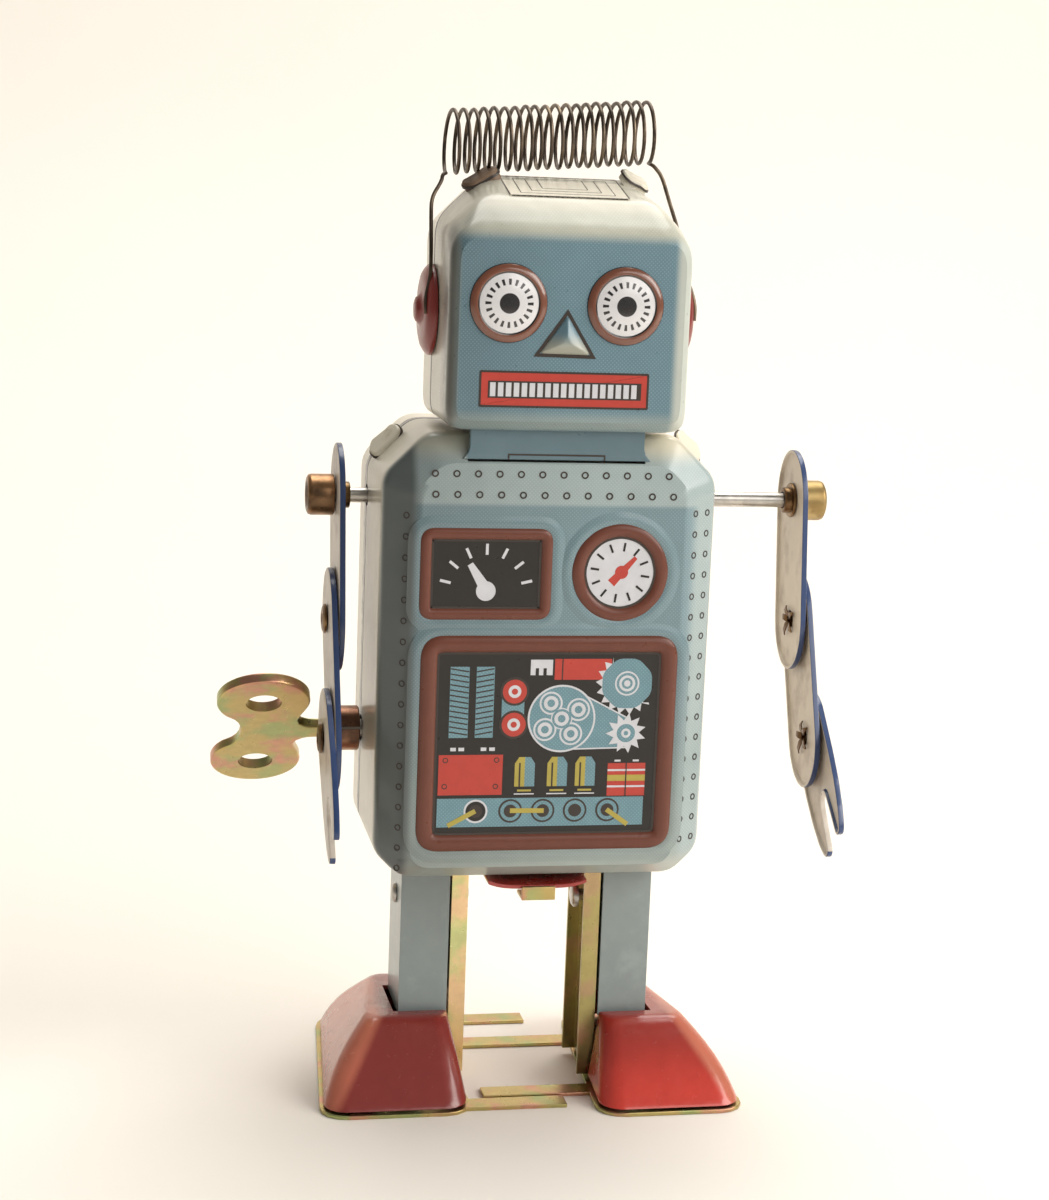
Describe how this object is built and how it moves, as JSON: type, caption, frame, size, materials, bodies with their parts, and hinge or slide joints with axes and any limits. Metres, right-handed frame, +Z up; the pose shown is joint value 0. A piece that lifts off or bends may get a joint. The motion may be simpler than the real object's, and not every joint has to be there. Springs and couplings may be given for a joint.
{
  "type": "tin wind-up robot",
  "caption": "Wind-up tin walking robot: folded tin body and head, coil antenna, riveted claw arms, side key and cranked legs on plate feet.",
  "frame": {"origin": "centre of the footprint of the whole robot, on the floor under its soles", "axes": "+Z up; the robot faces -Y; +X is at the right of a viewer who faces it, opposite the key"},
  "size_m": [0.0818, 0.0408, 0.1297],
  "materials": {
    "printed_blue": "glossy lithographed tin, blue print over cream",
    "cream_tin": "glossy lithographed tin, cream grey",
    "arm_tin": "lithographed tin, cream faces and blue rims",
    "red_tin": "glossy red lithographed tin",
    "leg_blue": "semi-gloss blue grey lithographed tin",
    "zinc_yellow": "yellow passivated zinc on steel sheet",
    "steel": "bright steel, lightly tarnished",
    "brass": "brassed steel and brass, dulled"
  },
  "bodies": {
    "frame": {"front_shell": "printed_blue", "back_shell": "cream_tin", "head_front": "printed_blue", "head_back": "cream_tin", "left_ear": "red_tin", "right_ear": "red_tin", "antenna_coil": "steel", "left_antenna_lead": "steel", "right_antenna_lead": "steel", "bottom_pan": "red_tin", "pan_clip": "zinc_yellow", "shoulder_rod": "steel", "left_rod_cap": "brass", "right_rod_cap": "brass", "left_motor_plate": "steel", "right_motor_plate": "steel", "lower_pillar": "brass", "front_pillar": "brass", "upper_pillar": "brass", "mainspring": "steel"},
    "key": {"winding_key": "zinc_yellow", "winding_arbor": "steel", "ratchet_wheel": "steel"},
    "great": {"great_wheel": "brass"},
    "click": {"click": "steel"},
    "second": {"second_arbor": "steel", "second_wheel": "brass"},
    "crank": {"crank_axle": "steel", "crank_wheel": "brass", "left_crank": "steel", "right_crank": "steel"},
    "star": {"star_arbor": "steel", "star_wheel": "brass"},
    "verge": {"verge": "steel"},
    "left_leg": {"left_leg_lever": "zinc_yellow", "left_leg_cover": "leg_blue", "left_leg_rivet": "steel", "left_foot_shell": "red_tin", "left_sole_plate": "zinc_yellow"},
    "left_upper": {"left_upper_arm": "arm_tin", "left_shoulder_eyelet": "brass"},
    "left_fore": {"left_forearm": "arm_tin", "left_elbow_rivet": "brass"},
    "left_hand": {"left_hand": "arm_tin", "left_wrist_rivet": "brass"},
    "right_leg": {"right_leg_lever": "zinc_yellow", "right_leg_cover": "leg_blue", "right_leg_rivet": "steel", "right_foot_shell": "red_tin", "right_sole_plate": "zinc_yellow"},
    "right_upper": {"right_upper_arm": "arm_tin", "right_shoulder_eyelet": "brass"},
    "right_fore": {"right_forearm": "arm_tin", "right_elbow_rivet": "brass"},
    "right_hand": {"right_hand": "arm_tin", "right_wrist_rivet": "brass"}
  },
  "joints": [
    {"name": "key_wind", "type": "hinge", "parent": "frame", "child": "key", "pos_m": [-0.0299, 0.00515, 0.0465], "axis": [1, 0, 0], "continuous": true},
    {"name": "crank_spin", "type": "hinge", "parent": "frame", "child": "crank", "pos_m": [0.0001, 0.00065, 0.036], "axis": [1, 0, 0], "continuous": true},
    {"name": "great_spin", "type": "hinge", "parent": "frame", "child": "great", "pos_m": [-0.0041, 0.00515, 0.0465], "axis": [1, 0, 0], "continuous": true},
    {"name": "click_pivot", "type": "hinge", "parent": "great", "child": "click", "pos_m": [-0.0051, 0.00442, 0.05064], "axis": [-1, 0, 0], "range_deg": [0, 12]},
    {"name": "second_spin", "type": "hinge", "parent": "frame", "child": "second", "pos_m": [0.0001, -0.00402, 0.0425], "axis": [1, 0, 0], "continuous": true},
    {"name": "star_spin", "type": "hinge", "parent": "frame", "child": "star", "pos_m": [0.0001, -0.00678, 0.03496], "axis": [1, 0, 0], "continuous": true},
    {"name": "verge_rock", "type": "hinge", "parent": "frame", "child": "verge", "pos_m": [-0.0029, -0.00678, 0.04016], "axis": [1, 0, 0], "range_deg": [-5, 5]},
    {"name": "left_leg_crank", "type": "hinge", "parent": "crank", "child": "left_leg", "pos_m": [-0.0099, 0.0019, 0.036], "axis": [1, 0, 0], "continuous": true},
    {"name": "right_leg_crank", "type": "hinge", "parent": "crank", "child": "right_leg", "pos_m": [0.0101, -0.0006, 0.036], "axis": [1, 0, 0], "continuous": true},
    {"name": "left_shoulder", "type": "hinge", "parent": "frame", "child": "left_upper", "pos_m": [-0.0262, 0.00515, 0.0778], "axis": [-1, 0, 0], "range_deg": [0, 150]},
    {"name": "left_elbow", "type": "hinge", "parent": "left_upper", "child": "left_fore", "pos_m": [-0.0262, 0.00206, 0.0619], "axis": [-1, 0, 0], "range_deg": [0, 95]},
    {"name": "left_wrist", "type": "hinge", "parent": "left_fore", "child": "left_hand", "pos_m": [-0.0262, -0.00579, 0.04773], "axis": [-1, 0, 0], "range_deg": [-40, 60]},
    {"name": "right_shoulder", "type": "hinge", "parent": "frame", "child": "right_upper", "pos_m": [0.0378, 0.00515, 0.0778], "axis": [-1, 0, 0], "range_deg": [-60, 150]},
    {"name": "right_elbow", "type": "hinge", "parent": "right_upper", "child": "right_fore", "pos_m": [0.0378, 0.00318, 0.06172], "axis": [-1, 0, 0], "range_deg": [0, 95]},
    {"name": "right_wrist", "type": "hinge", "parent": "right_fore", "child": "right_hand", "pos_m": [0.0378, -0.00289, 0.0467], "axis": [-1, 0, 0], "range_deg": [-40, 60]}
  ],
  "couplings": [
    {"joint": "left_leg_crank", "follows": "crank_spin", "ratio": -1},
    {"joint": "right_leg_crank", "follows": "crank_spin", "ratio": -1},
    {"joint": "second_spin", "follows": "crank_spin", "ratio": -0.33333},
    {"joint": "great_spin", "follows": "crank_spin", "ratio": 0.083333},
    {"joint": "star_spin", "follows": "crank_spin", "ratio": -4}
  ]
}
